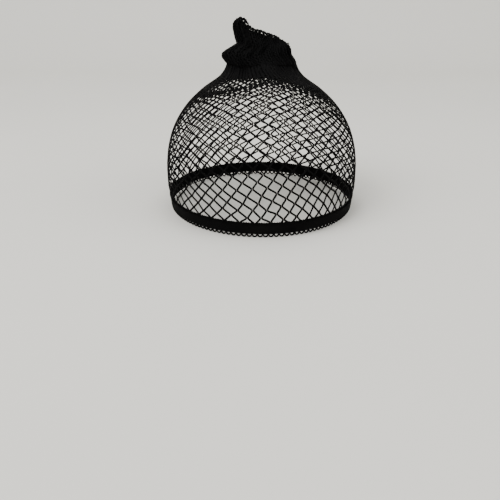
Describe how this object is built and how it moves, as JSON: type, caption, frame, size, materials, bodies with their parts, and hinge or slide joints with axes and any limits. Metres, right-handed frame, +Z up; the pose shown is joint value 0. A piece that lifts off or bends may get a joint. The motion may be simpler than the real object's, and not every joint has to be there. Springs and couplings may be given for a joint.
{
  "type": "fishnet wig cap",
  "caption": "Stretch net cap drawn over a head, with a woven elastic band and looped edge at the rim and a bunched tail on the crown.",
  "frame": {"origin": "centre of the head opening, in the plane of the picot tips", "axes": "+Z up through the crown, -Y towards the face, +X to the wearer's left"},
  "size_m": [0.1546, 0.1935, 0.1486],
  "materials": {
    "net_yarn": "matte black nylon net",
    "band_yarn": "matte black woven elastic"
  },
  "bodies": {
    "root": {"crown_net": "net_yarn", "tail": "net_yarn", "elastic_band": "band_yarn", "picot_edge": "band_yarn"}
  },
  "joints": []
}
